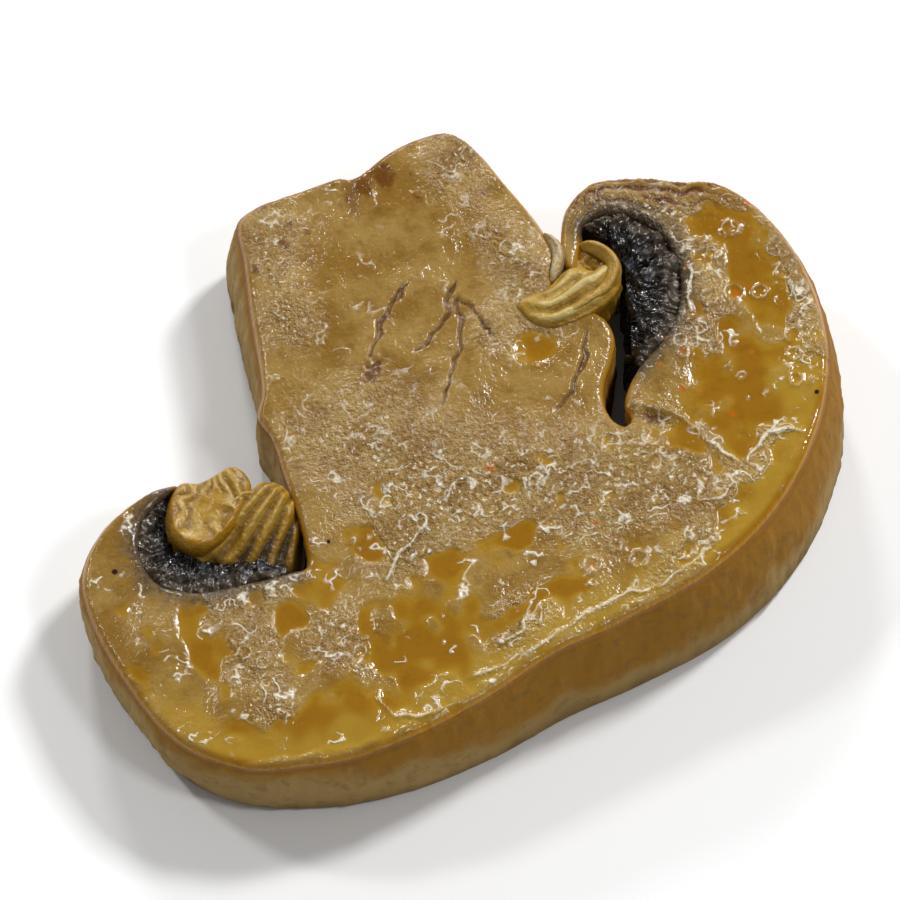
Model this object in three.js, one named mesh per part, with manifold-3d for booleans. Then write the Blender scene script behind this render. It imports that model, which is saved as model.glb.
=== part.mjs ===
// A thick lengthwise slice of a cooked button mushroom, lying flat on its underside.
// Millimetres. +Z is through the slice, +Y towards the cut end of the stem, and X runs
// across the cap. The underside rests on z = 0.

import * as THREE from 'three';
import { mergeVertices } from 'three/addons/utils/BufferGeometryUtils.js';
import Module from 'manifold-3d';

const wasm = await Module();
wasm.setup();

// Thickness of the slice at its middle, and how much it gains for each millimetre to the right.
const THICKNESS = 7.2;
const THICKNESS_SLOPE = 0.042;

// The middle of the slice's box, in the outline's coordinates. The part's origin is there.
const MIDDLE = [0.26, -0.08];

// How far the underside of the rim stands out from the cut face, or is tucked under it.
const RIM_FLARE = 1.5;
const RIM_TUCK = 0.5;
const STEM_FLARE = 0.9;
const RIM_BULGE = 0.45;

// The cut face: the size of its facets and the height of its waves.
const FACE_CELL = 1.25;
const WAVE_HEIGHT = 0.12;
const STEM_SWELL = 0.25;
const POOL_DEPTH = 0.25;

// The rim is made from slabs of this height, with one slab of waste under the slice.
const SLAB = 2;
const SLABS = 6;
const POINTS_PER_SPAN = 3;

const CRACK_WIDTH = 0.42;
const CRACK_DEPTH = 0.45;

// Gills: thin blades on a strip of their own, which follows the pocket's wall.
const GILL_THICKNESS = 0.62;
const GILL_PITCH = 1.0;
const GILL_BOTTOM = 0.5;
const GILL_DROP = 0.7;
const GILL_STRIP = 0.7;
const STRIP_DROP = 1.6;
const POCKET_GAP = 0.32;
const VEIL_GAP = 0.3;

const FLESH_COLOUR = 0xb08c52;
const FLESH_ROUGHNESS = 0.35;
const GILL_COLOUR = 0x2f2722;
const GILL_ROUGHNESS = 0.3;

// The outline of the cut face, clockwise from the left corner of the stem's end.
const STEM_END = [
  [-7.8, 17.0], [-6.6, 17.6], [-4.0, 17.9], [-1.3, 17.9], [-0.4, 17.6], [2.2, 18.7],
  [4.5, 19.2], [5.9, 19.0], [6.9, 17.9],
];
const STEM_RIGHT = [
  [8.2, 14.6], [9.4, 10.2], [9.6, 8.9], [8.9, 7.2], [9.1, 5.9], [10.3, 4.7], [11.2, 3.6],
  [11.3, 2.3], [10.7, 1.0], [9.8, -0.4], [9.4, -1.8], [9.6, -3.0], [10.1, -3.6], [10.6, -3.2],
  [10.5, -2.3], [11.0, -1.2],
];
const RIGHT_POCKET = [
  [12.2, 0.1], [13.6, 1.0], [15.1, 2.4], [16.3, 4.9], [16.4, 7.4], [15.3, 9.4], [13.3, 10.6],
  [11.8, 10.2],
];
const RIGHT_LOBE = [
  [11.1, 8.7], [10.3, 7.4], [9.9, 7.9], [10.3, 9.9], [11.3, 11.8], [13.2, 12.9], [15.6, 12.5],
  [18.2, 11.4], [20.2, 10.6], [22.3, 7.8], [23.5, 3.8], [23.5, -0.8], [22.2, -4.9],
];
const CAP_TOP = [
  [19.6, -8.9], [15.9, -12.2], [11.6, -14.4], [6.7, -15.6], [1.5, -16.6], [-3.8, -18.2],
  [-9.0, -19.2], [-13.8, -19.1], [-18.0, -17.8],
];
const LEFT_LOBE = [
  [-21.0, -15.1], [-22.7, -10.8], [-23.6, -6.0], [-23.3, -3.0], [-21.2, -0.4], [-17.9, 1.1],
  [-16.3, 1.0],
];
const LEFT_POCKET = [
  [-17.3, 0.5], [-18.9, -0.6], [-19.7, -2.6], [-19.3, -4.9], [-17.6, -6.1], [-14.0, -6.5],
  [-11.6, -6.6],
];
const STEM_LEFT = [
  [-10.6, -6.6], [-10.2, -5.0], [-10.1, -0.7], [-10.1, 2.2], [-10.5, 3.9], [-9.8, 5.3],
  [-8.9, 10.8], [-8.3, 14.2],
];

// Length of the gills from the pocket's wall, along each pocket from its first point.
const RIGHT_GILL_LENGTHS = [1.3, 2.2, 3.0, 3.4, 3.4, 3.3, 3.1, 2.8, 2.2, 1.5];
const LEFT_GILL_LENGTHS = [1.2, 1.7, 2.2, 2.6, 2.8, 2.6, 2.2, 1.8, 1.5, 1.3];

// The torn veil that hangs from the right lip and curls back over the stem.
// Each row is x, y, height over the cut face, half width and half height.
const RIGHT_VEIL = [
  [11.0, 9.2, -1.2, 0.6, 1.0],
  [12.0, 8.2, -0.5, 0.75, 1.1],
  [12.3, 7.1, -0.1, 0.95, 1.05],
  [11.6, 6.1, 0.15, 1.35, 0.95],
  [10.3, 5.7, 0.3, 1.6, 0.85],
  [8.9, 5.3, 0.3, 1.4, 0.75],
  [7.6, 5.3, 0.25, 1.1, 0.65],
  [6.6, 5.8, 0.15, 0.55, 0.45],
];
// The pleated veil that fills the left pocket, from the lip to the stem.
const LEFT_VEIL = [
  [-18.0, 0.6, -3.3, 0.5, 2.4],
  [-17.0, -0.4, -3.0, 1.3, 2.8],
  [-16.0, -1.3, -2.6, 2.1, 3.1],
  [-14.8, -1.7, -2.4, 2.6, 3.2],
  [-13.4, -2.2, -2.4, 3.0, 3.3],
  [-12.1, -2.8, -2.5, 3.0, 3.2],
  [-10.9, -3.4, -2.7, 2.6, 3.0],
];
const VEIL_PLEATS = 6;
const PLEAT_DEPTH = 0.09;

// Cracks in the stem's cut face, and the slot beside the right pocket.
const CRACKS = [
  [[0.5, 9.6], [-0.2, 8.9], [-1.8, 7.5], [-2.7, 6.4], [-3.1, 5.2]],
  [[3.2, 8.8], [2.3, 7.6], [1.1, 5.9], [-0.5, 4.9]],
  [[3.1, 7.8], [2.8, 6.2], [1.7, 3.8], [0.5, 1.9], [-1.4, 0.2]],
  [[3.1, 7.2], [3.8, 6.1], [4.1, 4.2]],
  [[9.7, 2.7], [8.9, 1.2], [7.7, -0.4], [6.5, -1.5]],
];

// Rises smoothly from 0 at low to 1 at high.
function ramp(low, high, value) {
  return THREE.MathUtils.smoothstep(value, low, high);
}

// A round hill of height 1 at (cx, cy), with the given half widths.
function hill(x, y, cx, cy, wide, deep) {
  return Math.exp(-(((x - cx) / wide) ** 2) - ((y - cy) / deep) ** 2);
}

// Height of the cut face over the underside.
function faceHeight(x, y) {
  const longWave = Math.sin(0.45 * x + 0.8) * Math.cos(0.38 * y - 0.4);
  const crossWave = 0.6 * Math.sin(0.9 * x - 0.7 * y + 1.3);
  const swell = STEM_SWELL * hill(x, y, -1, 11, 7, 7);
  const pool = POOL_DEPTH * hill(x, y, 17, -1, 4, 5);
  return THICKNESS + THICKNESS_SLOPE * x + WAVE_HEIGHT * (longWave + crossWave) + swell - pool;
}

// Moves a point outwards as the rim does: most at the underside, nothing at the cut face.
function leanOut(point) {
  const { x, y, z } = point;
  const height = THREE.MathUtils.clamp(z / faceHeight(x, y), 0, 1);
  const depth = z < 0 ? Math.max(0, 1 + z / SLAB) : 1 - height;
  const flare = RIM_FLARE * ramp(4, 17, 0.55 * x - 0.83 * y);
  const tuck = RIM_TUCK * ramp(6, 20, -0.8 * x - 0.6 * y);
  const stem = STEM_FLARE * ramp(3, 15, y) * ramp(3, 8, -x);
  const reach = Math.hypot(x, y + 3) || 1;
  const bulge = RIM_BULGE * 4 * height * (1 - height) * ramp(9, 17, reach);
  point.x += depth * (0.55 * flare + 0.8 * tuck - stem) + (bulge * x) / reach;
  point.y += depth * (-0.83 * flare + 0.6 * tuck) + (bulge * (y + 3)) / reach;
  return point;
}

// Applies a change to every vertex of a geometry.
function reshape(geometry, change) {
  const position = geometry.attributes.position;
  const point = new THREE.Vector3();
  for (let i = 0; i < position.count; i += 1) {
    change(point.fromBufferAttribute(position, i));
    position.setXYZ(i, point.x, point.y, point.z);
  }
  return geometry;
}

// Turns a closed geometry into a solid that can be joined and cut.
function solid(geometry) {
  const bare = geometry.clone();
  bare.deleteAttribute('normal');
  bare.deleteAttribute('uv');
  const merged = mergeVertices(bare, 1e-4);
  return new wasm.Manifold(new wasm.Mesh({
    numProp: 3,
    vertProperties: new Float32Array(merged.attributes.position.array),
    triVerts: new Uint32Array(merged.index.array),
  }));
}

// Turns a solid back into a geometry.
function surface(body) {
  const mesh = body.getMesh();
  const geometry = new THREE.BufferGeometry();
  geometry.setAttribute('position', new THREE.BufferAttribute(mesh.vertProperties, 3));
  geometry.setIndex(new THREE.BufferAttribute(mesh.triVerts, 1));
  geometry.computeVertexNormals();
  return geometry;
}

// Keeps the largest body of a solid and drops loose scraps.
function largest(body) {
  const bodies = body.decompose();
  return bodies.reduce((best, next) => (next.volume() > best.volume() ? next : best));
}

function curveThrough(points, closed) {
  const places = points.map(([x, y]) => new THREE.Vector3(x, y, 0));
  return new THREE.CatmullRomCurve3(places, closed, 'centripetal');
}

// The slice's outline carried down through the slabs and leant out at the underside.
function rimBody() {
  const outline = [
    ...STEM_END, ...STEM_RIGHT, ...RIGHT_POCKET, ...RIGHT_LOBE,
    ...CAP_TOP, ...LEFT_LOBE, ...LEFT_POCKET, ...STEM_LEFT,
  ];
  const edge = curveThrough(outline, true).getPoints(POINTS_PER_SPAN * outline.length);
  edge.pop();
  const shape = new THREE.Shape(edge.map((place) => new THREE.Vector2(place.x, place.y)));
  const settings = { depth: SLAB * SLABS, steps: SLABS, bevelEnabled: false };
  const geometry = new THREE.ExtrudeGeometry(shape, settings);
  geometry.translate(0, 0, -SLAB);
  return solid(reshape(geometry, leanOut));
}

// What the knife left between its two cuts: the flat underside and the waved cut face.
function betweenCuts() {
  const width = 54;
  const length = 44;
  const depth = 12;
  const under = new THREE.BoxGeometry(width, length, depth);
  under.translate(0, 0, depth / 2);
  const columns = Math.round(width / FACE_CELL);
  const rows = Math.round(length / FACE_CELL);
  const over = new THREE.BoxGeometry(width, length, depth, columns, rows, 1);
  reshape(over, (point) => {
    point.z = point.z > 0 ? faceHeight(point.x, point.y) : -depth;
  });
  return solid(under).intersect(solid(over));
}

// A tapered, closed tube. Rows give x, y, height over the cut face, half width and half
// height; the ball's rings are carried along the curve through the rows.
function taperedTube(rows, around, along, grow = 0, pleats = 0) {
  const path = curveThrough(rows, false);
  const last = rows.length - 1;
  const ball = new THREE.SphereGeometry(1, around, along);
  return reshape(ball, (point) => {
    const t = Math.acos(THREE.MathUtils.clamp(point.y, -1, 1)) / Math.PI;
    const girth = Math.hypot(point.x, point.z);
    const row = Math.min(Math.floor(t * last), last - 1);
    const part = t * last - row;
    const blend = (column) => THREE.MathUtils.lerp(rows[row][column], rows[row + 1][column], part);
    const round = girth < 1e-6 ? 0 : (1 - (2 * t - 1) ** 4) ** 0.5;
    const pleat = 1 + PLEAT_DEPTH * Math.sin(2 * Math.PI * pleats * t + point.z);
    const centre = path.getPoint(t);
    const tangent = path.getTangent(t);
    const across = girth < 1e-6 ? 0 : (point.x / girth) * round * (blend(3) * pleat + grow);
    const upward = girth < 1e-6 ? 0 : (point.z / girth) * round * (blend(4) + grow);
    const base = faceHeight(centre.x, centre.y) + blend(2);
    const end = grow * Math.sign(t - 0.5) * (1 - round);
    point.set(
      centre.x - tangent.y * across + tangent.x * end,
      centre.y + tangent.x * across + tangent.y * end,
      base + upward,
    );
  });
}

function crackBody(points) {
  const rows = points.map(([x, y]) => [x, y, 0, CRACK_WIDTH / 2, CRACK_DEPTH]);
  return solid(taperedTube(rows, 4, 3 * points.length));
}

// One gill: a thin blade with a rounded free edge, standing on the pocket's wall.
// It points along +X from its root at the origin and stands up along +Z.
function gillBlade(length, top) {
  const profile = new THREE.Shape();
  profile.moveTo(0, GILL_BOTTOM);
  profile.lineTo(0.7 * length, GILL_BOTTOM);
  profile.lineTo(0.95 * length, GILL_BOTTOM + 0.8);
  profile.lineTo(length, 0.5 * top);
  profile.lineTo(0.93 * length, top - 0.9);
  profile.lineTo(0.65 * length, top);
  profile.lineTo(0, top - 0.1);
  const settings = { depth: GILL_THICKNESS, steps: 1, bevelEnabled: false };
  const blade = new THREE.ExtrudeGeometry(profile, settings);
  blade.rotateX(Math.PI / 2);
  blade.translate(0, GILL_THICKNESS / 2, 0);
  return blade;
}

// The strip that a pocket's gills grow on, at a small gap from the pocket's wall.
function gillStrip(wall, top) {
  const stations = wall.getSpacedPoints(24);
  const offset = (distance) => stations.map((place, i) => {
    const tangent = wall.getTangentAt(i / 24);
    return new THREE.Vector2(place.x - tangent.y * distance, place.y + tangent.x * distance);
  });
  const ring = [...offset(POCKET_GAP), ...offset(POCKET_GAP + GILL_STRIP).reverse()];
  const settings = { depth: top - STRIP_DROP - GILL_BOTTOM, steps: 3, bevelEnabled: false };
  const strip = new THREE.ExtrudeGeometry(new THREE.Shape(ring), settings);
  return strip.translate(0, 0, GILL_BOTTOM);
}

// All gills of one pocket, fused to their strip and cut clear of the veil.
function gillBunch(points, lengths, veilRows, random) {
  const wall = curveThrough(points, false);
  const middle = wall.getPointAt(0.5);
  const top = faceHeight(middle.x, middle.y) - GILL_DROP;
  const count = Math.floor(wall.getLength() / GILL_PITCH);
  let bunch = solid(reshape(gillStrip(wall, top), leanOut));
  for (let i = 0; i < count; i += 1) {
    const along = (i + 0.5) / count;
    const place = wall.getPointAt(along);
    const tangent = wall.getTangentAt(along);
    const rank = along * (lengths.length - 1);
    const row = Math.floor(rank);
    const length = THREE.MathUtils.lerp(lengths[row], lengths[row + 1], rank - row);
    const blade = gillBlade(length * (0.9 + 0.2 * random()) - POCKET_GAP, top - 0.4 * random());
    const turn = Math.atan2(tangent.x, -tangent.y) + 0.12 * (random() - 0.5);
    blade.rotateZ(turn);
    const start = POCKET_GAP + 0.06;
    blade.translate(place.x + start * Math.cos(turn), place.y + start * Math.sin(turn), 0);
    bunch = bunch.add(solid(reshape(blade, leanOut)));
  }
  const veil = solid(reshape(taperedTube(veilRows, 12, 20, VEIL_GAP), leanOut));
  return largest(bunch.subtract(veil));
}

// A seeded source of numbers between 0 and 1, so that every run gives the same gills.
function seeded(seed) {
  let state = seed;
  return () => {
    state = (state * 1664525 + 1013904223) % 4294967296;
    return state / 4294967296;
  };
}

function fleshBody() {
  let flesh = rimBody().intersect(betweenCuts());
  for (const crack of CRACKS) {
    flesh = flesh.subtract(crackBody(crack));
  }
  const leftVeil = taperedTube(LEFT_VEIL, 14, 28, 0, VEIL_PLEATS);
  const rightVeil = taperedTube(RIGHT_VEIL, 10, 20);
  flesh = flesh.add(solid(reshape(leftVeil, leanOut)));
  return flesh.add(solid(reshape(rightVeil, leanOut)));
}

function piece(name, body, colour, roughness) {
  const material = new THREE.MeshStandardMaterial({ color: colour, roughness, metalness: 0 });
  const mesh = new THREE.Mesh(surface(body), material);
  mesh.name = name;
  return mesh;
}

const slice = new THREE.Group();
slice.name = 'button_mushroom_slice';
slice.position.set(-MIDDLE[0], -MIDDLE[1], 0);
slice.add(piece('flesh', fleshBody(), FLESH_COLOUR, FLESH_ROUGHNESS));
const leftGills = gillBunch(LEFT_POCKET, LEFT_GILL_LENGTHS, LEFT_VEIL, seeded(7));
const rightGills = gillBunch(RIGHT_POCKET, RIGHT_GILL_LENGTHS, RIGHT_VEIL, seeded(11));
slice.add(piece('gills_left', leftGills, GILL_COLOUR, GILL_ROUGHNESS));
slice.add(piece('gills_right', rightGills, GILL_COLOUR, GILL_ROUGHNESS));

export default slice;
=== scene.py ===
# A thick lengthwise slice of a cooked button mushroom: its wet cut faces, the skin round
# the rim, the dark gills in two pockets and the torn veil, all as fine surfaces.
import math

import bpy
import numpy as np
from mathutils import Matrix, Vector


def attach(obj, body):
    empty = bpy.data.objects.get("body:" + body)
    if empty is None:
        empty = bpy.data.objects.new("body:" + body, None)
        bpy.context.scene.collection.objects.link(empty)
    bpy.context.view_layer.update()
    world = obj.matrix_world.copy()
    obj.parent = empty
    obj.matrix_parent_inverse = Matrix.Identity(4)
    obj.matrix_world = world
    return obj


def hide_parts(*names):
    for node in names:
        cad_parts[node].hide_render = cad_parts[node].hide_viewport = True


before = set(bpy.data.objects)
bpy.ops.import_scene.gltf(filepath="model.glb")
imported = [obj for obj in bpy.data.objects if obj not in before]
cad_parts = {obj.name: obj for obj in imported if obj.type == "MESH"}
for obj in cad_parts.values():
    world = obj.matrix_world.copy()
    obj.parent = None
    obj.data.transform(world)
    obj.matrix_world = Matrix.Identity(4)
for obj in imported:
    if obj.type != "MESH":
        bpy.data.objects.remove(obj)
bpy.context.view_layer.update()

# Shapes are worked out in millimetres and become metres when a mesh is made.
MM = 0.001

# The slice's main sizes, as in its solids.
THICKNESS = 7.2
THICKNESS_SLOPE = 0.042
WAVE_HEIGHT = 0.12
STEM_SWELL = 0.25
POOL_DEPTH = 0.25
RIM_FLARE = 1.5
RIM_TUCK = 0.5
STEM_FLARE = 0.9
RIM_BULGE = 0.45
RIM_CENTRE_Y = -3.0
MIDDLE = np.array([0.26, -0.08])

# Fineness of the meshes: the cells of the cut face and the underside, the rim's columns, and
# the shares of the way down at which its rows run, close together at the lower edge.
FACE_CELL = 0.132
UNDERSIDE_CELL = 0.42
RIM_COLUMNS = 1440
COARSE_STEP = 10
RIM_SHARES = np.append((np.arange(10) + 0.35) / 10.3, [0.948, 0.974, 0.992])
RIM_ROWS = len(RIM_SHARES)

# Roundings: the radius at the cut face's edge, and at the foot of the rim the height at which
# it starts to turn in, how far it would turn in at the table, and the height where it ends.
TOP_ROUND = 0.42
UNDER_ROUND = 0.55
UNDER_TURN = 0.3
UNDER_EDGE = 0.08

# Cloud patterns: the size of a cell in millimetres and the number of cells along each side.
CLOUD_CELL = 0.1
CLOUD_COUNT = 640

# Heights and depths of the wet cut face's relief in millimetres.
LUMP_HEIGHT = 0.035
DIMPLE_HEIGHT = 0.01
GRAIN_HEIGHT = 0.014
FIBRE_HEIGHT = 0.006
SQUIGGLE_HEIGHT = 0.045
SHORE_HEIGHT = 0.04
THREAD_HEIGHT = 0.15
DROPLET_HEIGHT = 0.1
RIM_WAVE_HEIGHT = 0.05
FURROW_HEIGHT = 0.11
LINE_WANDER = 0.09
CRACK_WIDTH = 0.1
CRACK_DEPTH = 0.24
CRACK_LIP = 0.03
PIT_DEPTH = 0.25
GROOVE_DEPTH = 0.1
# The wrinkles of the skin, and how far the pattern moves on from one rim column to the next.
SKIN_DIMPLE_HEIGHT = 0.035
SKIN_GRAIN_HEIGHT = 0.016
SKIN_LUMP_HEIGHT = 0.05
SKIN_STEP = 0.16
UNDERSIDE_DIMPLE_DEPTH = 0.05
# The value of a mark where what it measures the distance from is out of reach.
FAR = 9.0

# The outline of the cut face, clockwise from the left corner of the stem's end.
STEM_END = [
    (-7.8, 17.0), (-6.6, 17.6), (-4.0, 17.9), (-1.3, 17.9), (-0.4, 17.6), (2.2, 18.7),
    (4.5, 19.2), (5.9, 19.0), (6.9, 17.9),
]
STEM_RIGHT = [
    (8.2, 14.6), (9.4, 10.2), (9.6, 8.9), (8.9, 7.2), (9.1, 5.9), (10.3, 4.7), (11.2, 3.6),
    (11.3, 2.3), (10.7, 1.0), (9.8, -0.4), (9.4, -1.8), (9.6, -3.0), (10.1, -3.6),
    (10.6, -3.2), (10.5, -2.3), (11.0, -1.2),
]
RIGHT_POCKET = [
    (12.2, 0.1), (13.6, 1.0), (15.1, 2.4), (16.3, 4.9), (16.4, 7.4), (15.3, 9.4),
    (13.3, 10.6), (11.8, 10.2),
]
RIGHT_LOBE = [
    (11.1, 8.7), (10.3, 7.4), (9.9, 7.9), (10.3, 9.9), (11.3, 11.8), (13.2, 12.9),
    (15.6, 12.5), (18.2, 11.4), (20.2, 10.6), (22.3, 7.8), (23.5, 3.8), (23.5, -0.8),
    (22.2, -4.9),
]
CAP_TOP = [
    (19.6, -8.9), (15.9, -12.2), (11.6, -14.4), (6.7, -15.6), (1.5, -16.6), (-3.8, -18.2),
    (-9.0, -19.2), (-13.8, -19.1), (-18.0, -17.8),
]
LEFT_LOBE = [
    (-21.0, -15.1), (-22.7, -10.8), (-23.6, -6.0), (-23.3, -3.0), (-21.2, -0.4),
    (-17.9, 1.1), (-16.3, 1.0),
]
LEFT_POCKET = [
    (-17.3, 0.5), (-18.9, -0.6), (-19.7, -2.6), (-19.3, -4.9), (-17.6, -6.1),
    (-14.0, -6.5), (-11.6, -6.6),
]
STEM_LEFT = [
    (-10.6, -6.6), (-10.2, -5.0), (-10.1, -0.7), (-10.1, 2.2), (-10.5, 3.9), (-9.8, 5.3),
    (-8.9, 10.8), (-8.3, 14.2),
]

# Cracks in the stem's cut face, with the slot beside the right pocket last.
CRACKS = [
    [(0.5, 9.6), (-0.2, 8.9), (-0.9, 8.3), (-1.8, 7.5), (-2.2, 6.6), (-3.1, 5.6)],
    [(3.2, 8.8), (2.7, 8.0), (2.3, 7.1), (1.4, 6.2), (0.3, 5.4), (-0.5, 5.1)],
    [(3.1, 7.8), (2.9, 6.9), (2.7, 5.6), (2.2, 4.4), (1.6, 3.4), (0.7, 2.0), (0.0, 1.0)],
    [(3.2, 7.6), (3.9, 6.3), (4.2, 4.6)],
    [(9.9, 3.2), (9.3, 1.9), (8.7, 0.8), (7.7, -0.4), (6.5, -1.5)],
]
# The pit in the middle of the stem, and the brown groove at its cut end.
PIT = [(-3.4, 4.1), (-2.9, 4.8)]
END_GROOVE = [(-0.8, 17.6), (-0.9, 16.4), (-1.2, 15.2)]
# Brown stains and painted shade, the furrows of the right lip, and the hollows under the film's
# edge and the veil's leaf: x, y, half length, half width and turn in degrees, and each hollow's
# depth. The first stain is brown at the stem's end; the second is painted shade in the hollow
# under the film's edge.
STAINS_AND_SHADE = [(0.9, 17.0, 1.7, 0.9, 10), (11.9, -3.6, 1.1, 0.4, -30)]
LIP_FURROWS = (15.9, 11.4, 3.8, 1.4, -18)
HOLLOWS = [((11.8, -3.7, 1.3, 0.55, -35), 0.45), ((6.8, 3.1, 1.3, 0.8, -20), 0.1)]
# The raised edge of the juice film, its side branch and other bright beads of juice, each
# with a pale highlight painted along it.
FILM_EDGES = [
    [(10.7, -2.4), (11.7, -2.6), (13.3, -3.9), (14.1, -5.2), (14.8, -6.6), (16.0, -8.4)],
    [(16.0, -8.4), (17.5, -6.9), (18.8, -6.8), (20.2, -7.3)],
    [(13.3, -8.2), (12.8, -9.8), (14.3, -9.8), (15.6, -9.2)],
    [(17.2, 5.7), (16.5, 4.0), (16.1, 2.2)],
    [(-8.9, -15.4), (-8.9, -16.6), (-8.5, -17.7), (-6.2, -18.1), (-4.2, -17.9)],
    [(-1.4, -15.2), (0.0, -14.6), (1.8, -13.4), (1.3, -14.9)],
    [(-6.5, -9.2), (-5.4, -7.9), (-4.0, -7.0), (-2.6, -5.6)],
    [(-1.9, -5.3), (-1.1, -4.4), (0.2, -3.7)],
    [(-4.2, -16.9), (0.7, -16.0), (3.9, -15.0), (6.3, -14.3), (9.1, -14.3), (10.7, -13.6)],
]
# Droplets of juice, which show as small raised rings with a pale highlight painted round
# them: x, y and radius.
DROPLETS = [
    (19.0, 3.0, 0.55), (20.5, 2.6, 0.45), (17.5, 3.1, 0.5), (14.9, 0.8, 0.4), (14.9, 0.0, 0.35),
    (21.1, -2.1, 0.4), (21.5, -0.9, 0.5), (22.3, 3.4, 0.5), (22.9, 1.9, 0.45), (22.9, 0.3, 0.5),
    (22.2, -0.8, 0.35), (20.7, -3.8, 0.4), (20.1, 7.1, 0.5), (18.7, 5.9, 0.45), (17.4, 5.2, 0.4),
    (6.9, 10.0, 0.4), (5.4, -11.9, 0.5), (8.2, -12.3, 0.5), (7.1, -11.1, 0.35), (11.0, -12.6, 0.6),
    (11.9, -11.8, 0.4), (-15.7, -11.0, 0.4), (-14.9, -12.0, 0.35), (-9.2, -13.0, 0.35),
]
# Orange specks of oil and black specks on the cut face: x, y and radius.
ORANGE_SPECKS = [
    (21.6, 8.4, 0.2), (16.8, 5.5, 0.15), (16.0, 5.0, 0.18), (19.1, 2.9, 0.24), (20.0, 3.1, 0.12),
    (14.2, 1.3, 0.14), (14.8, 0.1, 0.17), (13.3, -0.4, 0.14), (14.1, -2.3, 0.2),
    (16.4, -4.8, 0.18), (18.8, -1.2, 0.14), (1.6, -3.8, 0.27), (6.4, -9.3, 0.17),
    (5.4, -11.9, 0.16), (23.0, 5.8, 0.12), (14.9, -2.8, 0.1),
]
BLACK_SPECKS = [(-8.9, -5.5, 0.14), (-21.5, -3.5, 0.2), (21.6, -5.0, 0.16), (-10.4, -4.3, 0.1)]
# Pools of amber juice: x, y, half length, half width, turn in degrees. The one at 6.6, 3.2,
# beside the veil's leaf, is amber juice and painted shade of the leaf.
POOLS = [
    (-5.4, -13.6, 3.6, 2.9, 20), (17.6, -3.4, 3.6, 3.6, 40), (20.4, 3.6, 1.8, 3.0, 10),
    (-14.5, -17.3, 5.6, 1.1, -10), (3.0, -12.9, 2.2, 0.9, 20), (-6.7, -6.9, 1.0, 1.0, 0),
    (-10.2, -8.5, 1.4, 1.0, 20), (1.2, -8.6, 1.7, 0.8, 10), (-11.4, -16.4, 2.4, 1.2, 0),
    (13.0, -5.3, 1.4, 0.8, -40), (15.5, -11.6, 5.0, 1.5, 38), (21.2, -7.0, 1.2, 2.6, -20),
    (-12.6, -9.5, 1.4, 0.8, -30), (6.6, 3.2, 1.5, 1.2, -20), (19.6, 7.6, 2.2, 1.3, -30),
    (-2.6, -9.0, 1.3, 0.8, 0), (-18.2, -9.4, 0.9, 2.2, 10),
]
# Zones where the wet surface is rough and glints, and where pale glint flecks are painted: x, y,
# half length, half width, turn.
GLINTS = [
    (-6.2, 15.4, 1.5, 1.5, 0), (-6.7, 13.0, 0.8, 1.6, 0), (5.9, 16.6, 1.6, 2.2, -20),
    (7.0, 10.0, 1.2, 2.4, 15), (-6.7, 9.6, 1.3, 1.8, 0), (-4.6, 0.4, 4.2, 3.2, -20),
    (-2.0, -3.4, 5.0, 1.8, 12), (5.4, -4.6, 5.0, 1.8, 5), (4.4, 5.0, 0.9, 1.2, 0),
    (-15.5, -10.8, 1.3, 2.3, -25), (-15.0, -15.0, 1.0, 1.8, -20), (-10.0, -11.6, 1.8, 1.8, 0),
    (-4.6, -7.4, 2.4, 1.6, 40), (0.8, -6.4, 4.0, 1.6, 0), (17.6, 8.4, 4.6, 1.6, -35),
    (22.2, 1.2, 1.0, 7.0, 0), (12.6, -7.2, 3.6, 2.4, -40), (8.0, -8.4, 3.6, 2.0, 10),
    (-14.5, -7.6, 3.5, 0.8, 0), (16.4, 4.4, 1.6, 4.6, 0), (11.6, -12.4, 3.4, 0.9, 30),
    (0.4, -13.8, 2.2, 1.2, 20), (18.6, -7.8, 2.4, 1.4, 40), (7.2, 5.6, 1.6, 2.4, 0),
]
# Corners of the stem where the glints, partly real and partly painted highlight, are as strong as
# on the cap.
STEM_GLINTS = [(-6.2, 15.6, 1.7, 1.1, 20), (6.2, 16.4, 1.2, 1.4, 0), (7.3, 10.6, 0.9, 1.7, 10)]


def ramp(low, high, value):
    """Smooth rise from 0 at low to 1 at high: 3 t squared less 2 t cubed."""
    t = np.clip((value - low) / (high - low), 0, 1)
    return t * t * (3 - 2 * t)


def bell(value, wide):
    """A bell of height 1 round 0: e to the minus squared value, in half widths."""
    return np.exp(-(value / wide) ** 2)


def hill(x, y, cx, cy, wide, deep, turn=0.0):
    """A round hill of height 1: e to the minus squared distance, in turned half widths."""
    c, s = math.cos(math.radians(turn)), math.sin(math.radians(turn))
    along = ((x - cx) * c + (y - cy) * s) / wide
    across = ((y - cy) * c - (x - cx) * s) / deep
    return np.exp(-along ** 2 - across ** 2)


def face_height(x, y):
    """Height of the cut face: a sloped plane, two crossing waves, a swell and a hollow."""
    long_wave = np.sin(0.45 * x + 0.8) * np.cos(0.38 * y - 0.4)
    cross_wave = 0.6 * np.sin(0.9 * x - 0.7 * y + 1.3)
    swell = STEM_SWELL * hill(x, y, -1, 11, 7, 7)
    pool = POOL_DEPTH * hill(x, y, 17, -1, 4, 5)
    return THICKNESS + THICKNESS_SLOPE * x + WAVE_HEIGHT * (long_wave + cross_wave) + swell - pool


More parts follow.
